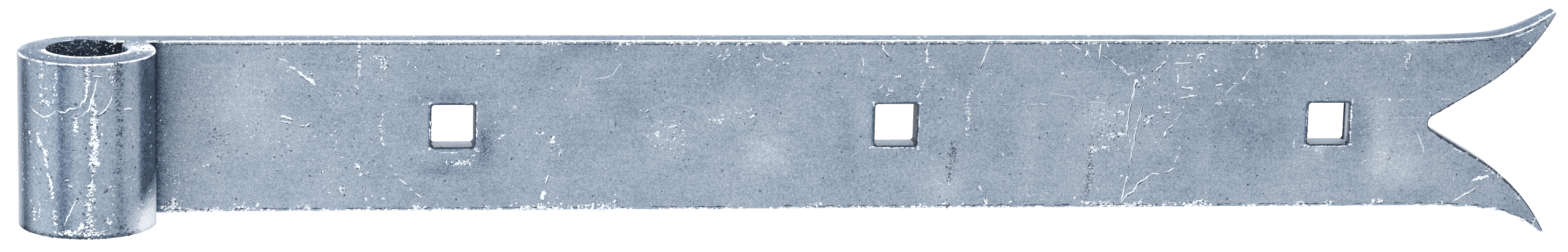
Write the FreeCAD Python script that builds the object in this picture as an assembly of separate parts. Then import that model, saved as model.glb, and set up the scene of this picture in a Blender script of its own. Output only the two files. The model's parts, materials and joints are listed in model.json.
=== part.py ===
"""Band of a hook and band gate hinge, in hot-dip galvanised steel.

The real band is one flat bar. One end is rolled into an eye for the hook's
pin, three square holes are punched for cup-headed coach bolts, and the far
end is split and spread into a fishtail with two pointed prongs.

Frame, in millimetres: the origin is on the axis of the eye at half the bar's
width. +Z runs up the axis of the eye, +X runs along the bar to the fishtail,
and +Y points from the show face to the back, which lies flat on the gate.
"""
import FreeCAD, Part
import math
import os

from FreeCAD import Vector

# Flat bar
bar_width = 50.0
bar_thickness = 8.0
edge_round = 0.5

# Rolled eye: the bar's back runs on as the outside of the eye. The last of
# the bar stays straight, and its sheared end, which has one well rounded
# corner, is pressed onto the show face, where zinc fills the seam.
bore_radius = 11.25
roll_straight_angle = 18.0
roll_end_round = 4.5
roll_end_bite = 0.4
seam_fill_round = 0.35

# Rolling a bar this thick round so small a bore squeezes steel out at the inner
# rims and draws it in at the outer ones, on both ends of the eye
rim_swell = 0.55
rim_draw = 0.12
swell_lead = 6.0
swell_rise = 9.0
swell_fall = 20.0

# Square holes for coach bolts: the first is placed from the axis of the eye,
# the last is placed back from the tips, and one lies halfway between them
hole_side = 12.3
hole_corner_round = 1.0
hole_rim_ease = 0.3
first_hole = 103.3
last_hole_setback = 66.5

# Fishtail: its tips reach out from the axis of the eye and stand out past the
# bar's long edges, which spread on a gentle arc and then on a tighter one
tip_reach = 425.7
tip_flare = 8.4
tip_round = 0.65
tip_thinning = 4.0
thinning_length = 12.0
flare_length = 42.0
gentle_length = 21.0
gentle_radius = 300.0

# Notch between the prongs, with its depth taken back from the tips
notch_depth = 36.7
notch_half_angle = 30.5
notch_straight_length = 17.0
notch_root_round = 2.4

# Worked out from the sizes above
eye_radius = bore_radius + bar_thickness
half_width = bar_width / 2
front_y = bore_radius
back_y = eye_radius
join_x = eye_radius + bar_thickness
last_hole = tip_reach - last_hole_setback
hole_places = (first_hole, (first_hole + last_hole) / 2, last_hole)
leave_angle = 360 + roll_straight_angle
middle_radius = bore_radius + bar_thickness / 2
cut_past = 1.0
stations = 18
same_place = 1e-4
sharp_turn = 15.0
X = Vector(1, 0, 0)
Y = Vector(0, 1, 0)
Z = Vector(0, 0, 1)


def polar(radius, degrees):
    """Point on a circle about the axis of the eye, counted from +X towards +Y."""
    angle = math.radians(degrees)
    return Vector(radius * math.cos(angle), radius * math.sin(angle), 0)


def on_show_face(x, z):
    """Point on the plane of the show face."""
    return Vector(x, front_y, z)


def line(start, end):
    """Straight edge between two points."""
    return Part.LineSegment(start, end).toShape()


def arc(start, middle, end):
    """Circular edge through three points."""
    return Part.Arc(start, middle, end).toShape()


def short_arc(centre, start, end):
    """Circular edge about a centre, the short way round from start to end."""
    halfway = (start + end) * 0.5 - centre
    return arc(start, centre + halfway.normalize() * (start - centre).Length, end)


def corner_round(before, corner, after, radius):
    """First, middle and last point of the round that takes a corner's place."""
    back = (before - corner).normalize()
    onward = (after - corner).normalize()
    half_angle = back.getAngle(onward) / 2
    setback = radius / math.tan(half_angle)
    bisector = (back + onward).normalize()
    centre = corner + bisector * (radius / math.sin(half_angle))
    return corner + back * setback, centre - bisector * radius, corner + onward * setback


def eye_profile():
    """Section of the eye and the first of the bar, at right angles to the bore."""
    middle = (90 + leave_angle) / 2
    run = polar(1, leave_angle + 90)
    bar_start = Vector(join_x, front_y, 0)
    back_start = Vector(join_x, back_y, 0)

    outer_leave = polar(eye_radius, leave_angle)
    outer_seam = outer_leave + run * ((front_y - outer_leave.y) / run.y)
    outer_fill = corner_round(outer_leave, outer_seam, bar_start, seam_fill_round)
    outline = [
        line(back_start, polar(eye_radius, 90)),
        arc(polar(eye_radius, 90), polar(eye_radius, middle), outer_leave),
        line(outer_leave, outer_fill[0]),
        arc(*outer_fill),
        line(outer_fill[2], bar_start),
        line(bar_start, back_start),
    ]

    inner_leave = polar(bore_radius, leave_angle)
    pressed_y = front_y + roll_end_bite
    inner_corner = inner_leave + run * ((pressed_y - inner_leave.y) / run.y)
    round_start, _, round_top = corner_round(inner_leave, inner_corner, inner_corner + X, roll_end_round)
    round_centre = round_top - Y * roll_end_round
    fill_y = front_y - seam_fill_round
    fill_rise = fill_y - round_centre.y
    fill_back = math.sqrt((roll_end_round + seam_fill_round) ** 2 - fill_rise ** 2)
    fill_centre = Vector(round_centre.x - fill_back, fill_y, 0)
    round_end = round_centre + (fill_centre - round_centre).normalize() * roll_end_round
    fill_end = fill_centre + Y * seam_fill_round
    bore = [
        arc(polar(bore_radius, 90), polar(bore_radius, middle), inner_leave),
        line(inner_leave, round_start),
        short_arc(round_centre, round_start, round_end),
        short_arc(fill_centre, round_end, fill_end),
        line(fill_end, polar(bore_radius, 90)),
    ]
    return Part.Face(Part.Wire(outline)).cut(Part.Face(Part.Wire(bore))).Faces[0]


def bend_station(along, radius):
    """Point at a distance along the middle of the bar, on the line that bends at a radius."""
    if along < swell_lead:
        return Vector(swell_lead - along, radius, 0)
    return polar(radius, 90 + math.degrees((along - swell_lead) / middle_radius))


def ease(share):
    """Smooth rise from 0 to 1 as share goes from 0 to 1, level at both ends."""
    share = max(0.0, min(1.0, share))
    return share * share * (3 - 2 * share)


def rim_curve(radius, length):
    """Curve along the end of the bend at one radius, proud inside and drawn in outside."""
    slope = (rim_swell + rim_draw) / bar_thickness
    full_height = rim_swell - slope * (radius - bore_radius)
    points = []
    for step in range(stations + 1):
        along = length * step / stations
        share = ease(along / swell_rise) * ease((length - along) / swell_fall)
        points.append(bend_station(along, radius) + Z * (half_width + full_height * share))
    curve = Part.BSplineCurve()
    curve.interpolate(Points=points, Parameters=[float(step) for step in range(stations + 1)])
    return curve.toShape()


def bend_profile():
    """Section of the stretch of bar whose ends swell: a short lead and the whole round bend."""
    middle = (90 + leave_angle) / 2
    lead_back = Vector(swell_lead, back_y, 0)
    lead_front = Vector(swell_lead, front_y, 0)
    return Part.Face(Part.Wire([
        line(lead_back, polar(eye_radius, 90)),
        arc(polar(eye_radius, 90), polar(eye_radius, middle), polar(eye_radius, leave_angle)),
        line(polar(eye_radius, leave_angle), polar(bore_radius, leave_angle)),
        arc(polar(bore_radius, leave_angle), polar(bore_radius, middle), polar(bore_radius, 90)),
        line(polar(bore_radius, 90), lead_front),
        line(lead_front, lead_back),
    ]))


def stand_up(face, half_height):
    """Solid on a section, reaching half_height to each side of the middle of the bar."""
    face.translate(Z * -half_height)
    return face.extrude(Z * (2 * half_height))


def make_bend():
    """The bend with its sloping ends."""
    blank = stand_up(bend_profile(), half_width + rim_swell + cut_past)
    length = swell_lead + math.radians(leave_angle - 90) * middle_radius
    inner = rim_curve(bore_radius - cut_past, length)
    outer = rim_curve(eye_radius + cut_past, length)
    waste = Part.makeRuledSurface(inner, outer).extrude(Z * 2 * (rim_swell + rim_draw + cut_past))
    return blank.cut(waste).cut(waste.mirror(Vector(0, 0, 0), Z))


def make_eye():
    """Rolled eye with the first of the bar."""
    flat_ended = stand_up(eye_profile(), half_width)
    return flat_ended.cut(stand_up(bend_profile(), half_width + cut_past)).fuse(make_bend())


def bend_to_tip(start, heading, side, tip):
    """Arc that leaves start along heading and meets the round of the tip smoothly.

    side points from the edge into the steel. The arc is worked out on the line
    that lies one tip radius inside the edge, because that line ends at the
    middle of the tip's round. Returns the arc's centre and its end.
    """
    inside = start + side * tip_round
    chord = tip - inside
    reach = chord.dot(chord) / (2 * chord.dot(side))
    centre = inside + side * reach
    return centre, tip - (centre - tip) * (tip_round / reach)


def upper_outline():
    """Edges of the show face from the first of the bar round the upper prong to the notch's root."""
    tip = on_show_face(tip_reach - tip_round, half_width + tip_flare - tip_round)

    flare_start = on_show_face(tip_reach - flare_length, half_width)
    gentle_centre = flare_start + Vector(0, 0, gentle_radius)
    turn = math.asin(gentle_length / gentle_radius)
    into_bar = Vector(math.sin(turn), 0, -math.cos(turn))
    gentle_end = gentle_centre + into_bar * gentle_radius
    flare_heading = Vector(math.cos(turn), 0, math.sin(turn))
    flare_centre, flare_end = bend_to_tip(gentle_end, flare_heading, into_bar, tip)

    flank_angle = math.radians(notch_half_angle)
    flank_heading = Vector(math.cos(flank_angle), 0, math.sin(flank_angle))
    into_prong = Vector(-math.sin(flank_angle), 0, math.cos(flank_angle))
    root = on_show_face(tip_reach - notch_depth, 0)
    root_centre = root + Vector(notch_root_round, 0, 0)
    root_end = root_centre + into_prong * notch_root_round
    flank_end = root_end + flank_heading * notch_straight_length
    sweep_centre, sweep_end = bend_to_tip(flank_end, flank_heading, into_prong, tip)

    return [
        line(on_show_face(join_x, half_width), flare_start),
        short_arc(gentle_centre, flare_start, gentle_end),
        short_arc(flare_centre, gentle_end, flare_end),
        short_arc(tip, flare_end, sweep_end),
        short_arc(sweep_centre, sweep_end, flank_end),
        line(flank_end, root_end),
        short_arc(root_centre, root_end, root),
    ]


def make_strap():
    """Flat of the bar with its fishtail, from beside the eye to the tips."""
    upper = upper_outline()
    lower = [edge.mirror(Vector(0, 0, 0), Vector(0, 0, 1)) for edge in upper]
    start = line(on_show_face(join_x, -half_width), on_show_face(join_x, half_width))
    outline = Part.Wire(Part.__sortEdges__([start] + upper + lower))
    return Part.Face(outline).extrude(Y * bar_thickness)


def thinning_cutter():
    """What is drawn off the backs of the prongs, on an arc that starts level with the back."""
    radius = (thinning_length ** 2 + tip_thinning ** 2) / (2 * tip_thinning)
    start = Vector(tip_reach - thinning_length, back_y, 0)
    end = Vector(tip_reach, back_y - tip_thinning, 0)
    outer_corner = Vector(tip_reach + cut_past, back_y + cut_past, 0)
    section = Part.Face(Part.Wire([
        short_arc(start - Y * radius, start, end),
        line(end, end + X * cut_past),
        line(end + X * cut_past, outer_corner),
        line(outer_corner, start + Y * cut_past),
        line(start + Y * cut_past, start),
    ]))
    return stand_up(section, half_width + tip_flare + cut_past)


def hole_cutter(x):
    """Square punch with slightly rounded corners, right through the bar."""
    corner = Vector(x - hole_side / 2, front_y - cut_past, -hole_side / 2)
    punch = Part.makeBox(hole_side, bar_thickness + 2 * cut_past, hole_side, corner)
    upright = [edge for edge in punch.Edges if edge.tangentAt(0).cross(Y).Length < same_place]
    return punch.makeFillet(hole_corner_round, upright)


def is_sharp(body, edge):
    """Whether the two faces beside an edge turn away from each other there."""
    middle = edge.valueAt((edge.FirstParameter + edge.LastParameter) / 2)
    normals = []
    for face in body.ancestorsOfType(edge, Part.Face):
        u, v = face.Surface.parameter(middle)
        normals.append(face.normalAt(u, v))
    return len(normals) == 2 and math.degrees(normals[0].getAngle(normals[1])) > sharp_turn


def sharp_edges(body):
    """Every sharp edge of a body. Those that are smooth already are left out."""
    return [edge for edge in body.Edges if is_sharp(body, edge)]


def make_band():
    """The whole band as one solid, with the punched rims eased less than the bar's edges."""
    bar = make_eye().fuse(make_strap()).removeSplitter()
    bar = bar.makeFillet(edge_round, sharp_edges(bar))
    for x in hole_places:
        bar = bar.cut(hole_cutter(x))
    bar = bar.makeChamfer(hole_rim_ease, sharp_edges(bar))
    return bar.cut(thinning_cutter()).Solids[0]


os.makedirs("parts", exist_ok=True)
band = make_band()
band.exportStep("parts/band.step")
print("band", band.isValid(), round(band.Volume, 1))
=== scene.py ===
"""Looks of the band of a hook and band gate hinge: camera, light and its worn galvanised finish.

Lengths are in metres, in the frame of the CAD model. What is read off the show side is in
millimetres, along the bar (x) and up it (z), and becomes metres through MM. The skin is a dense
copy of the CAD solid with the slight unevenness of a rolled bar dipped in zinc. Its tone is
largely painted light and shade. Zinc flecks, scrapes and pits lie on it as small closed meshes,
with painted highlights and painted shadows among them.
"""
import json
import math
import random

import bmesh
import bpy
from mathutils import Matrix, Vector, noise
from mathutils.bvhtree import BVHTree


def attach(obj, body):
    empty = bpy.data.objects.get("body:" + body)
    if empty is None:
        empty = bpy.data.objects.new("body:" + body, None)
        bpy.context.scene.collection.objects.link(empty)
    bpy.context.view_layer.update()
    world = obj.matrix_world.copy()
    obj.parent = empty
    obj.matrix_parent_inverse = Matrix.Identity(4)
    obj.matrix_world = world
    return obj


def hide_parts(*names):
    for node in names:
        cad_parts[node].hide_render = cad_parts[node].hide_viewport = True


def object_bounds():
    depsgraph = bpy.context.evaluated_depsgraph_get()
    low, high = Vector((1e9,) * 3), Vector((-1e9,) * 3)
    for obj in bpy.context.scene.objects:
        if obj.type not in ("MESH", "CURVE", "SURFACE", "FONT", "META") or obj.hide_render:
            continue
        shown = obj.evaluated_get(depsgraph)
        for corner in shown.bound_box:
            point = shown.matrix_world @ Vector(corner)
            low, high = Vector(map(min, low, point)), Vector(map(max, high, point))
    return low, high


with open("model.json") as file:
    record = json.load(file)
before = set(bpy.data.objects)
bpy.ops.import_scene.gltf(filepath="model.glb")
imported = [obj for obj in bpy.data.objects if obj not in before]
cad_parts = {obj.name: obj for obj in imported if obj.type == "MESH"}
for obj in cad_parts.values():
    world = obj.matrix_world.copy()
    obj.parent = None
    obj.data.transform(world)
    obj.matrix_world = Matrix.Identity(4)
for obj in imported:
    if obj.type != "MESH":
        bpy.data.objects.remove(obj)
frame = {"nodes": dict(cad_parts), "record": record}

MM = 0.001
RIGHT = Vector((1, 0, 0))
BACK = Vector((0, 1, 0))
UP = Vector((0, 0, 1))

# Sizes of the band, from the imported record
cad_low, cad_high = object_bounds()
mounts = {mount["name"]: mount for mount in frame["record"]["mounts"]}
bore_radius = mounts["pin_bore"]["dims"]["r_mm"]
half_width = mounts["pin_bore"]["dims"]["length_mm"] / 2
show_y = mounts["bolt_hole_middle"]["pos_m"][1] / MM
back_y = mounts["back_face"]["pos_m"][1] / MM
eye_radius = back_y
hole_places = [mount["pos_m"][0] / MM for name, mount in mounts.items() if name.startswith("bolt_hole")]
hole_half = 6.15
seam_x = 17.0
flare_x = 384.0
fork_root = 389.0

# Camera: the place and angles from which the photograph was taken, and its frame's width
photo_width = 2560
focal_pixels = 7857.0
camera_place = Vector((21.5, -1327.8, 313.5)) * MM
camera_yaw = 0.1315
camera_pitch = 0.2282
camera_roll = -0.0268
sensor_width = 36.0


def make_camera():
    """Camera at the photograph's viewing angle."""
    data = bpy.data.cameras.new("camera")
    data.sensor_width = sensor_width
    data.lens = sensor_width * focal_pixels / photo_width
    data.clip_start = 0.05
    data.clip_end = 100
    camera = bpy.data.objects.new("camera", data)
    turn = Matrix.Rotation(-camera_yaw, 4, "Z")
    tilt = Matrix.Rotation(math.pi / 2 - camera_pitch, 4, "X")
    roll = Matrix.Rotation(-camera_roll, 4, "Z")
    camera.matrix_world = Matrix.Translation(camera_place) @ turn @ tilt @ roll
    bpy.context.scene.collection.objects.link(camera)
    bpy.context.scene.camera = camera


# Light and floor
sky_strength = 0.74
floor_drop = 0.22
floor_size = 60.0
softboxes = {
    "overhead": {"place": (0.2, 0.35, 1.5), "size": (1.8, 0.9), "power": 26},
    "front_left": {"place": (-1.3, -1.5, 0.9), "size": (0.9, 1.2), "power": 16},
    "behind": {"place": (0.2, 2.6, 0.9), "size": (3.6, 1.1), "power": 7},
}
light_target = Vector((0.2, 0, 0))


def make_light():
    """A bright even sky with large softboxes."""
    world = bpy.data.worlds.new("sky")
    world.use_nodes = True
    background = world.node_tree.nodes["Background"]
    background.inputs["Color"].default_value = (1, 1, 1, 1)
    background.inputs["Strength"].default_value = sky_strength
    bpy.context.scene.world = world
    for name, box in softboxes.items():
        data = bpy.data.lights.new(name, "AREA")
        data.shape = "RECTANGLE"
        data.size, data.size_y = box["size"]
        data.energy = box["power"]
        light = bpy.data.objects.new(name, data)
        light.location = box["place"]
        aim = light_target - Vector(box["place"])
        light.rotation_euler = aim.to_track_quat("-Z", "Y").to_euler()
        light.visible_camera = False
        bpy.context.scene.collection.objects.link(light)
    bpy.context.scene.view_settings.view_transform = "Standard"


def new_object(name, mesh, *materials):
    """Object made from a finished bmesh, with its materials."""
    data = bpy.data.meshes.new(name)
    mesh.to_mesh(data)
    mesh.free()
    for material in materials:
        data.materials.append(material)
    made = bpy.data.objects.new(name, data)
    bpy.context.scene.collection.objects.link(made)
    return made


def make_floor():
    """Plain pale floor, well below the band."""
    material = bpy.data.materials.new("pale_floor")
    material.use_nodes = True
    shader = material.node_tree.nodes["Principled BSDF"]
    shader.inputs["Base Color"].default_value = (0.93, 0.93, 0.93, 1)
    shader.inputs["Roughness"].default_value = 0.9
    shader.inputs["Specular IOR Level"].default_value = 0.1
    mesh = bmesh.new()
    bmesh.ops.create_grid(mesh, x_segments=1, y_segments=1, size=floor_size / 2)
    floor = new_object("floor", mesh, material)
    floor.location.z = cad_low.z - floor_drop


# Materials
def grey(red, green, blue):
    """Linear colour of a colour given by its 8-bit values."""
    return [((value / 255 + 0.055) / 1.055) ** 2.4 for value in (red, green, blue)] + [1]


def node(tree, kind, inputs, **settings):
    """New shader node. An input is given as a value or as the socket that feeds it."""
    made = tree.nodes.new(kind)
    for name, value in settings.items():
        setattr(made, name, value)
    for name, value in inputs.items():
        if isinstance(value, bpy.types.NodeSocket):
            tree.links.new(value, made.inputs[name])
        else:
            made.inputs[name].default_value = value
    return made


def math_node(tree, operation, first, second, third=0.0):
    """Result of a sum on numbers or sockets."""
    return node(tree, "ShaderNodeMath", {0: first, 1: second, 2: third}, operation=operation).outputs[0]


def noise_node(tree, place, scale, detail, roughness=0.5):
    """Smooth noise about zero."""
    made = node(
        tree, "ShaderNodeTexNoise", {"Vector": place, "Scale": scale, "Detail": detail, "Roughness": roughness}
    )
    return math_node(tree, "SUBTRACT", made.outputs["Fac"], 0.5)


def weighted_sum(tree, start, *parts):
    """start plus each socket times its weight."""
    total = start
    for socket, weight in parts:
        total = math_node(tree, "MULTIPLY_ADD", socket, weight, total)
    return total


def ramp_node(tree, factor, stops):
    """Colour ramp with stops of position and colour."""
    made = node(tree, "ShaderNodeValToRGB", {"Fac": factor})
    elements = made.color_ramp.elements
    for _ in stops[2:]:
        elements.new(0.5)
    for element, (position, colour) in zip(elements, stops):
        element.position = position
        element.color = colour
    return made.outputs["Color"]


def spots_node(tree, place, spacing, radius, share):
    """Sparse round spots: about that share of the cells of a grid holds one, near its own radius."""
    cells = node(tree, "ShaderNodeTexVoronoi", {"Vector": place, "Scale": 1 / spacing})
    chance = node(tree, "ShaderNodeSeparateColor", {"Color": cells.outputs["Color"]})
    held = math_node(tree, "LESS_THAN", chance.outputs["Red"], share)
    size = math_node(tree, "MULTIPLY_ADD", chance.outputs["Green"], radius / spacing, 0.4 * radius / spacing)
    near = math_node(tree, "SUBTRACT", size, cells.outputs["Distance"])
    soft = math_node(tree, "MULTIPLY", near, 4 * spacing / radius)
    clear = node(tree, "ShaderNodeClamp", {"Value": soft}).outputs[0]
    return math_node(tree, "MULTIPLY", clear, held)


def mix_colour(tree, factor, first, second):
    """Colour between two by a factor."""
    made = node(tree, "ShaderNodeMix", {"Factor": factor}, data_type="RGBA")
    for name, value in (("A", first), ("B", second)):
        socket = [entry for entry in made.inputs if entry.name == name and entry.type == "RGBA"][0]
        if isinstance(value, bpy.types.NodeSocket):
            tree.links.new(value, socket)
        else:
            socket.default_value = value
    return [entry for entry in made.outputs if entry.type == "RGBA"][0]


steel_ramp = (
    (0.00, grey(40, 50, 63)),
    (0.22, grey(86, 105, 129)),
    (0.42, grey(133, 148, 165)),
    (0.62, grey(163, 175, 189)),
    (0.80, grey(188, 197, 207)),
    (1.00, grey(227, 231, 235)),
)
wear_and_highlight_white = grey(240, 243, 246)
pit_dark = grey(66, 80, 98)


def new_material(name, metallic):
    """Material with its tree, its shader and surface coordinates in millimetres."""
    material = bpy.data.materials.new(name)
    material.use_nodes = True
    tree = material.node_tree
    shader = tree.nodes["Principled BSDF"]
    shader.inputs["Metallic"].default_value = metallic
    coordinates = tree.nodes.new("ShaderNodeTexCoord").outputs["Object"]
    scaled = node(tree, "ShaderNodeVectorMath", {0: coordinates, "Scale": 1 / MM}, operation="SCALE")
    return material, tree, shader, scaled.outputs[0]


def finish_surface(tree, shader, colour, roughness, height, depth):
    """Joins colour, roughness and relief to the shader; depth is the relief's depth in millimetres."""
    relief = node(tree, "ShaderNodeBump", {"Strength": 1.0, "Distance": depth * MM, "Height": height})
    tree.links.new(colour, shader.inputs["Base Color"])
    tree.links.new(roughness, shader.inputs["Roughness"])
    tree.links.new(relief.outputs[0], shader.inputs["Normal"])


def galvanised_steel(name, start, wear_and_highlight):
    """Dull zinc coat with clouds, mottling, grain, pits and specks, and the painted light and shade of the skin's
    tone attribute, which also dims its shine. A wear value above zero brightens it in broken patches: worn zinc and
    painted highlight.
    """
    material, tree, shader, place = new_material(name, 0.82)
    clouds = noise_node(tree, place, 1 / 24, 4, 0.6)
    mottle = noise_node(tree, place, 1 / 4.2, 4, 0.6)
    grain = noise_node(tree, place, 1 / 1.0, 3, 0.65)
    fine = noise_node(tree, place, 1 / 0.42, 2, 0.6)
    drawn = node(tree, "ShaderNodeMapping", {"Vector": place, "Scale": (0.09, 1, 1)}).outputs[0]
    lines = noise_node(tree, drawn, 1 / 1.1, 3, 0.6)
    # The tone attribute: mostly painted light and shade, with clouds of the zinc's own tone
    painted_light_and_tone = node(tree, "ShaderNodeAttribute", {}, attribute_name="painted_light_and_tone").outputs["Fac"]
    level = weighted_sum(
        tree, start, (clouds, 0.28), (mottle, 0.20), (grain, 0.34), (fine, 0.82), (lines, 0.14), (painted_light_and_tone, 0.5)
    )
    colour = ramp_node(tree, level, steel_ramp)

    shaken = node(tree, "ShaderNodeTexNoise", {"Vector": place, "Scale": 2.2, "Detail": 2}).outputs["Color"]
    jittered = node(
        tree, "ShaderNodeVectorMath", {0: shaken, 1: (0.7, 0.7, 0.7), 2: place}, operation="MULTIPLY_ADD"
    ).outputs[0]
    pits = spots_node(tree, jittered, 2.6, 0.34, 0.42)
    specks = spots_node(tree, jittered, 2.2, 0.34, 0.40)
    colour = mix_colour(tree, pits, colour, pit_dark)
    colour = mix_colour(tree, specks, colour, grey(206, 214, 222))
    # Worn zinc and painted highlight on the rounded edges
    if wear_and_highlight:
        broken = weighted_sum(tree, wear_and_highlight, (mottle, 2.6), (grain, 2.4))
        wear_and_highlight_mask = node(tree, "ShaderNodeClamp", {"Value": broken}).outputs[0]
        colour = mix_colour(tree, wear_and_highlight_mask, colour, wear_and_highlight_white)
    roughness = weighted_sum(tree, 0.46, (mottle, 0.25), (grain, 0.2))
    height = weighted_sum(tree, 0.5, (mottle, 0.8), (grain, 0.5), (pits, -0.8), (specks, 0.4))
    finish_surface(tree, shader, colour, roughness, height, 0.10)
    # Painted shade also dims the shine, and painted highlights lose some metal so that they read white
    shade_dimmed_shine = node(tree, "ShaderNodeClamp", {"Value": math_node(tree, "MULTIPLY_ADD", painted_light_and_tone, 1.1, 1.12)}).outputs[0]
    painted_highlight_whitening = node(tree, "ShaderNodeClamp", {"Value": math_node(tree, "MULTIPLY_ADD", painted_light_and_tone, 2, -0.7)}).outputs[0]
    metallic = math_node(tree, "MULTIPLY_ADD", painted_highlight_whitening, -0.6, math_node(tree, "MULTIPLY", shade_dimmed_shine, 0.82))
    tree.links.new(metallic, shader.inputs["Metallic"])
    tree.links.new(math_node(tree, "MULTIPLY", shade_dimmed_shine, 0.5), shader.inputs["Specular IOR Level"])
    return material


def plain_zinc(name, dark, light, depth):
    """Bare or clotted zinc of one tone, uneven from place to place; also the colour of painted highlight marks and
    painted shadow marks.
    """
    material, tree, shader, place = new_material(name, 0.25)
    grain = noise_node(tree, place, 1 / 0.6, 3, 0.6)
    colour = ramp_node(tree, weighted_sum(tree, 0.5, (grain, 1.6)), ((0.0, dark), (1.0, light)))
    roughness = weighted_sum(tree, 0.55, (grain, 0.3))
    finish_surface(tree, shader, colour, roughness, weighted_sum(tree, 0.5, (grain, 1.0)), depth)
    return material


# The eye was read off from a view this much further round to its right
eye_view_turn = math.radians(8.4)

# Tone painted over the skin, much of it painted light and shade. Soft spots on the show side, as place, reach and
# strength: clouds in the zinc's own tone, with painted shade beside some holes and under the upper edge
soft_spots = (
    ((46, 5), (9, 11), 0.30),
    ((56, -4), (10, 6), 0.16),
    ((36, -8), (2.4, 2.4), 0.25),
    ((34, -4), (5, 5), -0.09),
    ((22, 9), (4, 12), -0.12),
    ((66, 20), (8, 3), -0.11),
    ((70, -17), (7, 6), 0.12),
    ((102, 8.4), (9, 1.6), -0.28),
    ((112.6, -4.2), (3.4, 4.2), -0.40),
    ((109, -9), (4, 1.6), -0.15),
    ((101, -13.4), (5.5, 1.5), -0.26),
    ((92, 19), (4, 4), -0.09),
    ((128, 18), (7, 6), -0.09),
    ((122, -10), (9, 9), -0.06),
    ((140, 9), (6, 6), 0.14),
    ((134, -12), (4, 3), -0.09),
    ((145, 22.5), (10, 2), -0.15),
    ((154, 5), (6, 4), -0.09),
    ((163, -3), (8, 5), 0.16),
    ((183, 4), (9, 5), 0.18),
    ((192, -9), (7, 6), 0.26),
    ((178, 17), (12, 6), -0.07),
    ((196, -17), (7, 5), -0.07),
    ((212, 12), (7, 8), -0.06),
    ((217.5, -5), (3, 12), -0.12),
    ((221, 4), (2.2, 12), 0.16),
    ((229, 8.4), (8, 2.2), -0.16),
    ((246, -18), (5, 6), 0.26),
    ((248, 16), (5, 7), -0.06),
    ((262, -3), (7, 9), -0.07),
    ((271, -4), (3, 12), 0.16),
    ((284, -14), (7, 8), 0.14),
    ((291, 2), (8, 6), 0.20),
    ((297, 20), (9, 4), -0.14),
    ((307, -5), (6, 7), 0.16),
    ((316, 15), (5, 5), 0.12),
    ((331, 8), (10, 12), -0.14),
    ((337, -5), (10, 9), -0.15),
    ((322, -13), (3, 10), 0.14),
    ((352, -10), (4, 5), 0.16),
    ((357, -8), (1.6, 3), 0.30),
    ((344, 22), (12, 3), -0.11),
    ((369, 0), (3, 8), -0.17),
    ((375, -9), (4, 12), 0.44),
    ((382, -13), (4, 7), 0.34),
    ((373, 6), (4, 5), 0.22),
    ((386, -21), (9, 3), -0.16),
    ((394, 17), (9, 6), -0.09),
    ((402, -14), (8, 4), -0.10),
    ((412, 24), (8, 3), -0.12),
    ((410, 22), (12, 6), -0.30),
    ((420, -28), (8, 6), -0.20),
    ((366.5, 0), (2.5, 9), -0.20),
    ((102, -12), (9, 1.4), -0.22),
    ((112, -8), (2.4, 4.5), -0.22),
)

# Painted light and shade in bands along the eye, where its rolled surface reflects unevenly: degrees from the front,
# half width and strength
eye_light_bands = (
    (0, 60, -0.10),
    (-74, 5, 0.30),
    (-54, 8, -0.78),
    (-32, 12, 0.16),
    (-12, 4.0, -0.50),
    (-6, 4.0, -0.16),
    (2, 4.5, 0.16),
    (22, 8, 0.10),
    (37.5, 4.5, -0.22),
    (48, 5, 0.05),
    (100, 14, -0.20),
    (135, 9, 0.20),
    (160, 7, -0.30),
    (-115, 12, -0.25),
    (-150, 10, 0.20),
)
# Painted light on the upper face: spots as place, reach and strength, brightest at the eye's rolled end
top_light_spots = (
    ((16, 2), 5.5, 1.6),
    ((-12, 12), 5, 0.35),
    ((8, 14), 4, 0.15),
)
# Painted shade over the upper face, along the bar
top_shade_profile = ((22, -0.48), (32, -0.48), (385, -0.46), (400, -0.65))
# Painted shade in a ring near the eye's front, by distance from its axis
front_ring_shade = ((16.2, 0), (16.8, -0.2), (18.2, -0.2), (18.8, 0))
# Painted shade on the eye's flank towards the seam, by degrees from the front
flank_shade_profile = ((56.5, 0), (60, -0.7), (66, -0.85), (96, -0.93), (106, -0.5), (120, -0.15), (135, 0))
# Painted light low on the eye's flank: how much by height, along a line that leans with the degrees, and how strong
# by degrees
lit_profile = ((-20, 1), (-16.5, 0.62), (-12.5, 0))
lit_flank = ((42, 0), (52, 0.6), (62, 1.1), (78, 0.9), (98, 0.5), (118, 0))
lit_slope = 0.18
# Painted shade along the eye's lower rim, by height
low_rim_shade = ((-25, -0.5), (-24.4, -0.4), (-23.5, 0))
# Painted highlight on the upper face beside the bore's front rim, by distance from the axis
bore_rim_highlight = ((11.0, 1.5), (12.8, 1.3), (13.6, 0))
# Painted shade at the seam between the eye and the bar, fading along the bar, with a little painted light past it
crevice_shade_profile = (
    (17, -1.2), (19.0, -1.0), (20.2, -0.55), (21.5, -0.28), (24.5, -0.1), (28, 0.02), (36, 0.06), (44, 0),
)
# Painted shade in the bore
bore_shade = -0.94
# Painted light and shade in stripes across the holes' walls, by depth from the show side
wall_light_and_shade = ((0, -0.3), (0.8, -0.9), (2, -0.5), (2.8, 0.3), (4.6, 0.3), (5.3, -1), (8, -1.2))
# Painted shade on the rims of the holes and of the fork's notch
rim_shade = -0.9
# Painted light and shade across the fork's inner edges, by depth from the show side
notch_light_and_shade = ((0.4, -0.9), (1.2, 0.4), (5.5, 0.5), (6.3, -1.1))
# Painted highlight along the back of the upper face
back_fringe_highlight = ((-2.4, 0), (-1.5, 0.55), (0, 0.7))


def bump_of(distance):
    """Smooth hump that is 1 at distance 0 and fades out by about 2."""
    return math.exp(-distance * distance)


def along_profile(profile, x):
    """Value at x on a line of points, level past its ends."""
    if x <= profile[0][0]:
        return profile[0][1]
    for (left, low), (right, high) in zip(profile, profile[1:]):
        if x <= right:
            return low + (high - low) * (x - left) / (right - left)
    return profile[-1][1]


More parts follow.
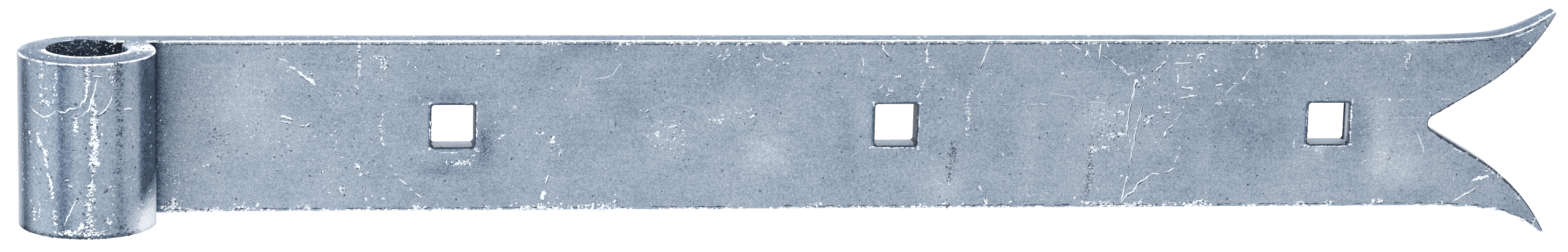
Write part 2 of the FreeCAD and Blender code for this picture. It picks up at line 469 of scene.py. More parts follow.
def top_light_and_shade(x, y):
    """Painted light and shade on the upper face: light by the eye's rolled end, with a dark ring near the eye's
    front, a highlight beside the bore's front rim and a light fringe along the back.
    """
    spots = (strength * bump_of(math.dist(at, (x, y)) / reach) for at, reach, strength in top_light_spots)
    from_axis = math.hypot(x, y)
    ring_light_and_shade = along_profile(front_ring_shade, from_axis) + along_profile(bore_rim_highlight, from_axis) if y < -2 else 0
    outer = math.hypot(min(x, 0), y) if y > 0 else 0
    return along_profile(top_shade_profile, x) + sum(spots) + ring_light_and_shade + along_profile(back_fringe_highlight, outer - back_y)


def in_notch(x, z, normal):
    """Whether a place is on the fork's inner edges."""
    return x > fork_root - 1 and (z * normal.z < 0 or abs(z) < 3 and normal.x > 0.3)


def near_hole(x, z, margin):
    """Whether a place is in a punched hole or within a margin of one."""
    return any(max(abs(x - hole), abs(z)) < hole_half + margin for hole in hole_places)


def tone_and_painted_light(place, normal):
    """How much lighter or darker than plain zinc the skin is at a place, from about -1 to 1: mostly painted light and
    shade, with clouds of the zinc's own tone on the show side.
    """
    x, y, z = place / MM
    from_axis = math.hypot(x, y)
    in_bore = from_axis < bore_radius + 0.6 and abs(normal.z) < 0.5
    # Painted shade in the bore
    if in_bore:
        return bore_shade
    # Painted light and shade on the upper faces
    if abs(normal.z) > 0.9:
        return top_light_and_shade(x, y) if z > 0 else 0
    # Painted light and shade on the eye: bands, shade on its flank, a lit patch low on the flank and shade along its
    # lower rim
    if x < eye_radius + 1 and y < show_y - 0.5:
        angle = math.degrees(math.atan2(x, -y) + eye_view_turn)
        painted_light_and_tone = sum(strength * bump_of((angle - at) / reach) for at, reach, strength in eye_light_bands)
        if 0 < angle < 180:
            flank_shade = along_profile(flank_shade_profile, angle)
            lit = along_profile(lit_profile, z - lit_slope * (angle - 70))
            painted_light_and_tone += flank_shade * (1 - lit) + along_profile(lit_flank, angle) * lit
        return painted_light_and_tone + along_profile(low_rim_shade, z)
    # Painted shade on the holes' rims and some of their walls, painted light and shade in stripes on the rest, darker
    # on the lower walls
    if near_hole(x, z, 1.0) and abs(normal.y) < 0.97:
        shaded_face = abs(normal.y) > 0.5 or normal.x < -0.5 and x < hole_places[-1] - 9
        shade = 0.4 if normal.z > 0.5 else 0
        return rim_shade if shaded_face else along_profile(wall_light_and_shade, y - show_y) - shade
    # Painted light and shade on the fork's inner edges
    if in_notch(x, z, normal) and abs(normal.y) < 0.97:
        return along_profile(notch_light_and_shade, y - show_y) if abs(normal.y) < 0.5 else rim_shade
    # Painted light and shade of the upper face on the upward edge faces past the flare
    if x > flare_x and abs(normal.y) < 0.5 and z > 0:
        return top_light_and_shade(x, y)
    if y > show_y + 0.6:
        return 0
    # Clouds in the zinc's own tone, with painted shade beside some holes and under the upper edge, and painted shade
    # at the seam
    spots = (
        strength * bump_of(math.hypot((x - at[0]) / reach[0], (z - at[1]) / reach[1]))
        for at, reach, strength in soft_spots
    )
    return sum(spots) + along_profile(crevice_shade_profile, x)


# Skin: a dense copy of the solid, cut into cells that are finer at the eye
cell = 2.0
eye_cell = 1.0
eye_end = 26.0
rim_depth = 0.9
weld = 0.002 * MM
flat_turn = math.radians(0.4)
sharp_turn = math.radians(32)
waves = (
    {"size": 34 * MM, "height": 0.05 * MM},
    {"size": 9 * MM, "height": 0.018 * MM},
)


def cut_along(mesh, axis, start, stop, spacing):
    """Cuts the mesh by evenly spaced planes across one axis, from start up to stop, in millimetres."""
    count = round((stop - start) / spacing)
    for step in range(1, count + 1):
        place = axis * ((start + (stop - start) * step / count) * MM)
        geometry = mesh.verts[:] + mesh.edges[:] + mesh.faces[:]
        bmesh.ops.bisect_plane(mesh, geom=geometry, dist=weld, plane_co=place, plane_no=axis)


def unevenness(place):
    """Height of the skin over the solid at a place."""
    return sum(wave["height"] * noise.noise(place / wave["size"]) for wave in waves)


def is_rim(face):
    """Whether a face belongs to a round or chamfer along the bar's edges or the eye's upper rim, away from the holes
    and the fork's notch. These faces get worn zinc and painted highlight.
    """
    middle = face.calc_center_median() / MM
    if middle.x < eye_end:
        behind_bore = middle.y > -1 and math.hypot(middle.x, middle.y) < bore_radius + 1.5
        return 0.07 < abs(face.normal.z) < 0.97 and middle.z > half_width - rim_depth and not behind_bore
    thinned_back = middle.x > cad_high.x / MM - 13 and face.normal.y > 0
    kept_unhighlit = thinned_back or near_hole(middle.x, middle.z, 1.5) or in_notch(middle.x, middle.z, face.normal)
    return 0.06 < abs(face.normal.y) < 0.99 and not kept_unhighlit


def make_skin(body_material, rim_material):
    """Dense copy of the CAD solid, slightly uneven, that stands for it, with a search tree of its surface."""
    mesh = bmesh.new()
    mesh.from_mesh(frame["nodes"]["band"].data)
    bmesh.ops.remove_doubles(mesh, verts=mesh.verts, dist=weld)
    bmesh.ops.dissolve_limit(mesh, angle_limit=flat_turn, verts=mesh.verts, edges=mesh.edges)
    bmesh.ops.triangulate(mesh, faces=mesh.faces)
    cut_along(mesh, RIGHT, cad_low.x / MM, eye_end, eye_cell)
    cut_along(mesh, RIGHT, eye_end, cad_high.x / MM, cell)
    cut_along(mesh, UP, cad_low.z / MM, cad_high.z / MM, cell)
    cut_along(mesh, BACK, cad_low.y / MM, cad_high.y / MM, eye_cell)
    bmesh.ops.triangulate(mesh, faces=mesh.faces)
    mesh.normal_update()
    # Rounds along the edges get the worn and highlit material: worn zinc and painted highlight
    for face in mesh.faces:
        face.material_index = int(is_rim(face))
    painted_light_and_tone = mesh.verts.layers.float.new("painted_light_and_tone")
    # Painted light and shade, with clouds of the zinc's own tone, kept on each vertex
    for vertex in mesh.verts:
        vertex[painted_light_and_tone] = tone_and_painted_light(vertex.co, vertex.normal)
    shifts = [vertex.normal * unevenness(vertex.co) for vertex in mesh.verts]
    for vertex, shift in zip(mesh.verts, shifts):
        vertex.co += shift
    tree = BVHTree.FromBMesh(mesh)
    skin = new_object("band_skin", mesh, body_material, rim_material)
    skin.data.shade_smooth()
    skin.data.set_sharp_from_angle(angle=sharp_turn)
    weighting = skin.modifiers.new("even_normals", "WEIGHTED_NORMAL")
    weighting.keep_sharp = True
    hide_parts("band")
    return tree


# Marks
fleck_sides = 8
sink = 0.03
reach_out = 0.2
path_step = 0.45
sway_length = 1.6
sway_width = 0.22


class Marks:
    """Small closed meshes of one material that lie on the skin."""

    def __init__(self, name, material, tree, seed):
        self.name = name
        self.material = material
        self.tree = tree
        self.mesh = bmesh.new()
        self.random = random.Random(seed)

    def hit(self, start, direction):
        """Place and normal where a ray meets the skin."""
        place, normal, _, _ = self.tree.ray_cast(start, direction)
        return (place, normal) if place is not None else None

    def on_show(self, x, z):
        """Place and normal on the show side, as seen from the front."""
        if abs(x) < seam_x:
            x = eye_radius * math.sin(math.asin(x / eye_radius) - eye_view_turn)
        return self.hit(Vector((x * MM, -reach_out, z * MM)), BACK)

    def on_back(self, x, z):
        """Place and normal on the back, as seen from behind."""
        return self.hit(Vector((x * MM, reach_out, z * MM)), -BACK)

    def on_top(self, x, y):
        """Place and normal on the upper side, as seen from above."""
        return self.hit(Vector((x * MM, y * MM, reach_out)), -UP)

    def in_bore(self, angle, z):
        """Place and normal in the bore, in a direction given in degrees and at a height."""
        outward = Vector((math.cos(math.radians(angle)), math.sin(math.radians(angle)), 0))
        return self.hit(UP * z * MM, outward)

    def fleck(self, spot, heading, length, width, height):
        """Low mound with an uneven outline, its rim sunk just under the skin."""
        if spot is None:
            return
        place, normal = spot
        along = heading - normal * heading.dot(normal)
        along.normalize()
        across = normal.cross(along)
        rim = []
        for step in range(fleck_sides):
            angle = math.tau * step / fleck_sides
            share = self.random.uniform(0.6, 1.2) / 2 * MM
            offset = along * (math.cos(angle) * length * share) + across * (math.sin(angle) * width * share)
            rim.append(self.mesh.verts.new(place + offset - normal * sink * MM))
        lean = along * (self.random.uniform(-0.2, 0.2) * length * MM)
        top = self.mesh.verts.new(place + lean + normal * height * MM)
        bottom = self.mesh.verts.new(place - normal * 2 * sink * MM)
        for first, second in zip(rim, rim[1:] + rim[:1]):
            self.mesh.faces.new((first, second, top))
            self.mesh.faces.new((second, first, bottom))

    def loose_fleck(self, spot, size, flat_lying=0.5):
        """Fleck of about a size, turned at random; a share of them lies along the bar."""
        angle = self.random.uniform(0, math.pi)
        if self.random.random() < flat_lying:
            angle = self.random.gauss(0, 0.3)
        heading = RIGHT * math.cos(angle) + UP * math.sin(angle) + BACK * 0.01
        length = size * self.random.uniform(0.6, 1.7)
        self.fleck(spot, heading, length, length * self.random.uniform(0.35, 0.8), 0.05 + 0.05 * length)

    def patch(self, count, size, centre, reach):
        """Flecks scattered about a place on the show side."""
        for _ in range(count):
            x = self.random.gauss(centre[0], reach[0] * 0.6)
            z = self.random.gauss(centre[1], reach[1] * 0.6)
            self.loose_fleck(self.on_show(x, z), size)

    def trail(self, count, size, spread, *points, flat_lying=0.5):
        """Flecks scattered along a line through points on the show side."""
        for _ in range(count):
            x, z = point_along(points, self.random.random())
            x += self.random.gauss(0, spread * 0.6)
            z += self.random.gauss(0, spread * 0.6)
            self.loose_fleck(self.on_show(x, z), size, flat_lying)

    def broken_line(self, width, share, *points):
        """Short ridges that follow a line on the show side and cover about that share of it."""
        length = sum(math.dist(a, b) for a, b in zip(points, points[1:]))
        at = 0
        while at < length:
            piece = self.random.uniform(0.8, 3.2)
            if self.random.random() < share:
                steps = [point_along(points, min(1, (at + piece * part / 3) / length)) for part in range(4)]
                self.scrape(width * self.random.uniform(0.7, 1.3), *steps, sway=0.8)
            at += piece

    def edge_place(self, x, inside, outside):
        """Height of the show side's edge at x, between one height on it and one past it."""
        for _ in range(12):
            middle = (inside + outside) / 2
            if self.on_show(x, middle):
                inside = middle
            else:
                outside = middle
        return inside

    def edge_line(self, width, share, start, stop, inside, outside, inset):
        """Broken line beside an edge of the show side, from x start to stop."""
        count = max(2, round((stop - start) / 2))
        points = []
        for step in range(count + 1):
            x = start + (stop - start) * step / count
            edge = self.edge_place(x, inside, outside)
            points.append((x, edge + math.copysign(inset, inside - outside)))
        self.broken_line(width, share, *points)

    def scrape(self, width, *points, sway=1.0):
        """Low uneven ridge along a line through points on the show side."""
        length = sum(math.dist(a, b) for a, b in zip(points, points[1:]))
        count = max(3, round(length / path_step))
        places = [point_along(points, step / count) for step in range(count + 1)]
        jitter = width * 0.14
        start = self.random.random() * 100
        spots = []
        for step, (x, z) in enumerate(places):
            along = start + step * path_step / sway_length
            x += noise.noise(Vector((along, 0.4, 0.3))) * sway * sway_width + self.random.gauss(0, jitter)
            z += noise.noise(Vector((along, 5.6, 2.7))) * sway * sway_width + self.random.gauss(0, jitter)
            spots.append(self.on_show(x, z))
        spots = [spot for spot in spots if spot]
        if len(spots) < 2:
            return
        rows = []
        for step, (place, normal) in enumerate(spots):
            ahead = spots[min(step + 1, len(spots) - 1)][0]
            behind = spots[max(step - 1, 0)][0]
            across = normal.cross(ahead - behind).normalized()
            share = step / (len(spots) - 1)
            taper = min(1, 4 * share + 0.25, 4 * (1 - share) + 0.25)
            half = width * 0.62 * taper * self.random.uniform(0.55, 1.3) * MM
            ridge = (0.04 + 0.10 * width * taper) * MM
            rows.append([
                self.mesh.verts.new(place + across * half - normal * sink * MM),
                self.mesh.verts.new(place + normal * ridge),
                self.mesh.verts.new(place - across * half - normal * sink * MM),
            ])
        for near, far in zip(rows, rows[1:]):
            for side in range(3):
                other = (side + 1) % 3
                self.mesh.faces.new((near[side], near[other], far[other], far[side]))
        self.mesh.faces.new(rows[0][::-1])
        self.mesh.faces.new(rows[-1])

    def finish(self):
        """Turns the marks into one piece that rides on the band."""
        bmesh.ops.recalc_face_normals(self.mesh, faces=self.mesh.faces)
        piece = new_object(self.name, self.mesh, self.material)
        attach(piece, "root")


def point_along(points, share):
    """Point at a share of the length of a line of points."""
    lengths = [math.dist(a, b) for a, b in zip(points, points[1:])]
    left = share * sum(lengths)
    for (start, end), length in zip(zip(points, points[1:]), lengths):
        if left <= length:
            return tuple(a + (b - a) * left / length for a, b in zip(start, end))
        left -= length
    return points[-1]


# Bright scrapes on the eye and the bar: width, then the points they run through
scrapes = (
    (0.42, (-13.5, 12.0), (-12.5, 10.5), (-11.1, 10.0), (-9.4, 9.2), (-7.2, 9.8), (-6.0, 11.1), (-5.4, 11.6)),
    (0.42, (-5.4, 11.6), (-4.0, 11.2), (-2.8, 11.3), (-1.9, 12.2), (-0.7, 12.3), (1.1, 12.9)),
    (0.50, (1.1, 12.9), (1.7, 14.1), (2.6, 14.8), (3.3, 16.2)),
    (0.40, (1.2, 10.2), (2.4, 10.8), (3.6, 12.4), (4.3, 14.4), (5.0, 16.6), (5.6, 19.0), (6.0, 21.3)),
    (0.40, (6.0, 10.5), (7.4, 11.2), (8.8, 12.9), (9.6, 14.6), (9.9, 15.8)),
    (0.40, (4.8, 21.6), (6.2, 21.5), (7.6, 21.2)),
    (0.50, (12.6, 11.6), (13.8, 11.5), (14.6, 11.2)),
    (0.45, (0.1, -13.6), (-0.9, -15.4), (-2.1, -18.0), (-3.5, -21.0)),
    (0.30, (3.0, -22.8), (5.5, -22.9), (8.4, -22.5)),
    (0.40, (-3.2, -8.0), (-2.0, -8.0)),
    (0.40, (-2.4, -9.3), (-1.0, -9.9)),
    (0.35, (49.7, 23.4), (50.4, 23.1), (51.2, 22.7)),
    (0.35, (53.8, 20.1), (55.2, 19.4), (56.5, 18.6)),
    (0.60, (56.9, 17.6), (57.8, 17.1), (58.8, 16.8)),
    (0.95, (58.9, 16.3), (60.6, 15.0), (62.3, 13.7), (64.3, 12.2)),
    (0.70, (54.3, 3.1), (55.8, 2.9), (57.6, 2.2)),
    (0.50, (54.4, 1.7), (56.0, 1.4), (57.4, 1.0)),
    (0.35, (59.7, 0.4), (61.1, 0.3)),
    (0.35, (61.3, 0.2), (62.6, 0.9)),
    (0.35, (25.6, -13.0), (25.2, -14.4)),
    (0.30, (27.0, -4.9), (27.2, -6.2)),
    (0.50, (88.2, -15.4), (90.2, -17.2)),
    (0.42, (90.9, -17.9), (92.0, -18.9)),
    (0.45, (92.6, -19.4), (94.4, -21.0)),
    (0.60, (115.4, 22.3), (116.4, 22.2)),
    (0.60, (115.3, 21.3), (116.5, 21.1)),
    (0.35, (111.1, 18.4), (111.2, 17.0)),
    (0.60, (116.1, -3.8), (117.3, -3.5)),
    (0.50, (116.9, -2.9), (118.4, -2.5)),
    (0.50, (108.3, -8.7), (109.8, -8.4)),
    (0.50, (101.5, -10.0), (101.6, -11.0)),
    (0.50, (130.8, -14.3), (130.1, -16.8)),
    (1.30, (129.9, -19.0), (129.3, -20.3), (128.9, -21.7)),
    (0.35, (134.2, -6.6), (133.8, -8.9)),
    (0.30, (134.5, -6.9), (134.2, -8.0)),
    (0.40, (120.3, 5.9), (121.6, 5.6)),
    (0.40, (120.3, 5.2), (121.5, 5.2)),
    (0.40, (178.8, 20.1), (180.0, 21.0)),
    (0.40, (181.2, 20.5), (182.6, 20.6)),
    (0.35, (180.2, 19.2), (181.4, 19.8)),
    (0.30, (175.8, 20.4), (177.6, 20.6)),
    (0.30, (192.0, 21.7), (192.3, 20.2), (193.4, 19.6), (195.5, 19.0)),
    (0.35, (180.0, 3.1), (181.0, 3.4)),
    (0.35, (165.2, -0.5), (167.8, 0.3)),
    (0.35, (158.3, 4.1), (159.6, 4.8)),
    (0.45, (226.5, 24.3), (226.9, 22.5), (227.8, 21.0), (228.4, 20.3)),
    (0.40, (229.3, 24.5), (229.5, 23.8)),
    (0.35, (220.9, 20.2), (221.2, 18.0), (221.3, 17.3)),
    (0.45, (220.9, 16.2), (220.7, 15.5)),
    (0.40, (257.9, 24.0), (257.2, 22.0), (256.2, 19.5), (255.3, 16.8)),
    (0.50, (256.4, -18.0), (256.9, -19.8)),
    (0.45, (257.8, -21.8), (258.3, -23.3), (257.6, -24.5)),
    (0.45, (258.4, -21.9), (258.9, -23.8)),
    (0.50, (247.1, -16.9), (247.3, -18.1)),
    (0.30, (226.0, 10.8), (227.2, 12.0)),
    (0.30, (237.8, -0.4), (238.7, -0.3)),
    (0.50, (301.4, 13.2), (300.9, 11.2), (300.2, 7.0)),
    (0.38, (300.2, 6.6), (299.7, 4.0), (299.4, 0.0), (299.1, -3.8)),
    (0.32, (303.6, 6.3), (303.2, 4.0), (302.2, 0.0), (301.4, -5.0), (300.8, -10.0), (300.2, -13.0)),
    (0.42, (299.9, -15.2), (299.2, -18.5), (298.5, -23.4)),
    (0.42, (298.5, -23.0), (300.0, -21.2), (301.8, -20.1), (303.4, -17.4), (305.8, -16.0), (307.1, -14.6)),
    (0.35, (307.1, -14.6), (309.4, -14.8)),
    (0.35, (311.0, -14.3), (312.0, -14.3), (313.8, -13.0)),
    (0.45, (290.6, 24.3), (290.4, 22.0), (290.3, 19.5)),
    (0.50, (292.4, 24.3), (292.8, 22.9)),
    (0.40, (287.0, 24.5), (287.0, 23.5)),
    (0.35, (285.3, 24.5), (285.9, 23.8)),
    (0.40, (281.5, 24.2), (283.0, 23.1), (284.6, 22.2)),
    (0.55, (286.9, 22.3), (286.1, 20.2)),
    (0.34, (291.0, 20.6), (292.6, 19.6)),
    (0.34, (293.5, 19.0), (295.6, 17.6)),
    (0.34, (297.4, 16.2), (299.6, 14.4)),
    (0.30, (298.7, 15.2), (301.0, 15.2)),
    (0.45, (308.7, 17.6), (309.3, 18.3), (310.0, 18.5)),
    (0.42, (307.0, 15.8), (307.8, 16.9), (308.6, 17.5)),
    (0.40, (312.2, 18.2), (314.5, 18.1), (317.6, 18.3)),
    (0.55, (319.4, 20.8), (321.6, 20.7)),
    (0.40, (310.2, 23.6), (311.0, 24.3)),
    (0.45, (310.0, 3.6), (311.8, 3.5)),
    (0.45, (314.5, 11.1), (316.5, 10.8), (318.0, 10.9)),
    (0.42, (314.0, 7.8), (316.5, 8.1), (319.3, 8.7)),
    (0.35, (312.3, 9.4), (313.3, 8.5)),
    (0.42, (313.6, 15.0), (313.6, 12.0)),
    (0.50, (324.8, 11.6), (327.0, 11.9)),
    (0.80, (332.6, 13.0), (333.6, 14.2)),
    (0.45, (330.2, 12.0), (331.2, 12.3)),
    (0.40, (312.8, -0.2), (311.4, -1.2)),
    (0.60, (310.9, -2.0), (310.4, -3.6)),
    (0.50, (292.0, -7.0), (293.3, -6.9)),
    (0.50, (336.5, 22.8), (336.8, 21.0)),
    (0.40, (337.7, 23.0), (338.2, 22.4)),
    (0.60, (320.0, -24.1), (321.2, -23.0), (323.0, -22.7)),
    (0.40, (344.7, 15.6), (345.6, 15.3)),
    (0.60, (357.2, 11.8), (358.0, 12.6)),
    (0.45, (381.6, 19.7), (381.6, 18.3)),
    (0.40, (382.6, 21.0), (382.5, 19.0)),
    (0.80, (403.0, -17.4), (405.4, -16.4), (408.0, -15.7)),
    (0.45, (407.6, -15.4), (408.2, -16.6)),
    (0.50, (397.6, -23.8), (400.0, -22.2), (403.0, -20.4), (404.2, -19.7)),
    (0.90, (394.8, -23.3), (394.3, -24.3)),
    (0.50, (393.0, -24.3), (392.6, -24.0)),
    (0.50, (420.5, 30.4), (422.5, 31.7), (424.0, 32.4)),
    (0.50, (416.0, -27.9), (419.5, -29.2), (421.5, -30.7)),
    (0.60, (421.5, -31.0), (424.0, -32.8)),
)

# Faint scrapes, only a little lighter than the zinc round them
faint_scrapes = (
    (0.30, (12.4, -8.6), (13.6, -7.9), (15.0, -7.8)),
    (0.35, (139.8, 15.5), (139.2, 11.0)),
    (0.40, (143.0, 13.6), (146.0, 14.0), (149.0, 15.0), (150.5, 17.5), (152.0, 19.0)),
    (0.25, (168.6, 6.3), (172.8, 5.0)),
    (0.25, (189.0, -9.6), (190.8, -9.5)),
    (0.30, (275.0, 9.6), (278.0, 9.0), (281.5, 8.5), (285.0, 7.2)),
    (0.30, (287.0, 6.7), (292.0, 6.6)),
    (0.30, (271.0, 6.0), (276.0, 6.0)),
    (0.40, (333.6, 14.5), (335.2, 16.6)),
    (0.35, (332.4, 12.6), (330.8, 11.6), (328.8, 9.8), (328.2, 8.8)),
    (0.30, (315.0, 3.8), (314.3, 2.4), (313.5, 0.8)),
    (0.60, (385.8, -2.5), (387.2, -5.7), (388.5, -9.2)),
    (0.30, (274.0, -22.3), (275.9, -22.3)),
)

# Trails of flecks: count, size, spread, then the points they follow
trails = (
    (55, 0.75, 0.35, (3.3, 24.6), (3.4, 20.0), (3.0, 16.0)),
    (90, 0.80, 0.70, (4.7, 15.0), (5.0, 10.0), (4.8, 5.0)),
    (120, 0.85, 1.10, (4.8, 5.0), (4.9, 0.0), (5.3, -4.5)),
    (26, 0.60, 0.35, (4.7, -4.5), (4.4, -9.0)),
    (150, 0.70, 1.00, (4.0, -9.0), (3.7, -15.0), (3.8, -24.0)),
    (30, 0.50, 0.80, (-15.6, 24.0), (-15.4, 0.0), (-15.6, -24.0)),
    (40, 0.60, 1.10, (17.6, -14.0), (18.2, -18.0), (18.0, -24.0)),
    (14, 0.45, 1.20, (18.8, 24.0), (19.2, -12.0)),
    (20, 0.50, 2.00, (22.0, 20.0), (21.5, -5.0), (22.5, -20.0)),
    (22, 0.65, 0.60, (-9.6, 24.0), (-10.0, 20.0), (-10.0, 14.0)),
    (34, 0.60, 0.45, (-5.4, 24.2), (-5.5, 20.0), (-5.8, 16.0), (-6.6, 13.0)),
    (55, 0.85, 0.42, (-11.1, 4.6), (-11.0, 2.0), (-9.8, 0.8), (-8.7, -1.0), (-8.3, -4.6)),
    (48, 0.80, 0.38, (-8.2, -6.5), (-7.3, -9.5), (-6.6, -13.5)),
    (14, 0.50, 0.20, (9.9, -10.0), (9.8, -24.0)),
    (18, 0.55, 0.60, (9.5, 24.0), (9.6, 19.0)),
    (5, 0.45, 0.10, (14.4, -10.0), (14.4, -14.3)),
    (6, 0.50, 0.15, (14.5, 6.8), (14.8, 1.0)),
    (52, 0.62, 0.42, (76.3, 24.6), (76.5, 20.0), (76.4, 14.5)),
    (9, 0.55, 0.45, (75.4, 12.2), (76.4, 10.8)),
    (34, 0.60, 0.32, (83.3, 4.0), (82.6, 0.0), (83.0, -3.0), (83.4, -5.2)),
    (5, 0.50, 0.15, (87.0, -13.6), (87.6, -14.4)),
    (10, 0.60, 0.28, (150.3, -20.3), (150.0, -23.6)),
    (26, 0.60, 0.30, (239.8, 24.5), (239.6, 22.0), (239.7, 18.5)),
    (20, 0.60, 0.36, (239.3, 13.8), (238.5, 11.0), (238.2, 9.5), (236.6, 8.0)),
    (66, 0.52, 0.45, (253.4, 11.3), (252.0, 8.5), (252.1, 4.5), (252.5, 1.5), (251.8, -2.0), (252.0, -4.0)),
    (8, 0.50, 0.35, (248.8, 14.0), (248.5, 12.0), (246.5, 9.2)),
    (9, 0.45, 0.20, (270.3, -17.0), (270.2, -20.3), (271.0, -21.4), (270.3, -23.0)),
    (22, 0.45, 0.12, (313.7, -12.5), (314.0, -10.8), (314.7, -9.4), (315.0, -7.5), (315.4, -6.0)),
    (26, 0.42, 0.10, (326.0, 7.2), (344.0, 7.2)),
    (14, 0.40, 0.10, (345.0, 7.2), (366.0, 7.2)),
    (30, 0.42, 0.10, (374.0, 7.2), (396.0, 7.2)),
    (22, 0.40, 0.10, (377.0, 1.7), (388.4, 1.7)),
    (24, 0.36, 0.14, (294.0, -4.6), (345.0, -4.6)),
    (16, 0.36, 0.14, (262.0, 6.0), (275.0, 6.1)),
    (16, 0.50, 0.45, (288.7, -8.0), (288.8, -19.0)),
    (8, 0.55, 0.25, (349.0, -4.8), (349.1, -6.8)),
    (12, 0.50, 0.30, (92.0, 12.0), (94.6, 6.3)),
)

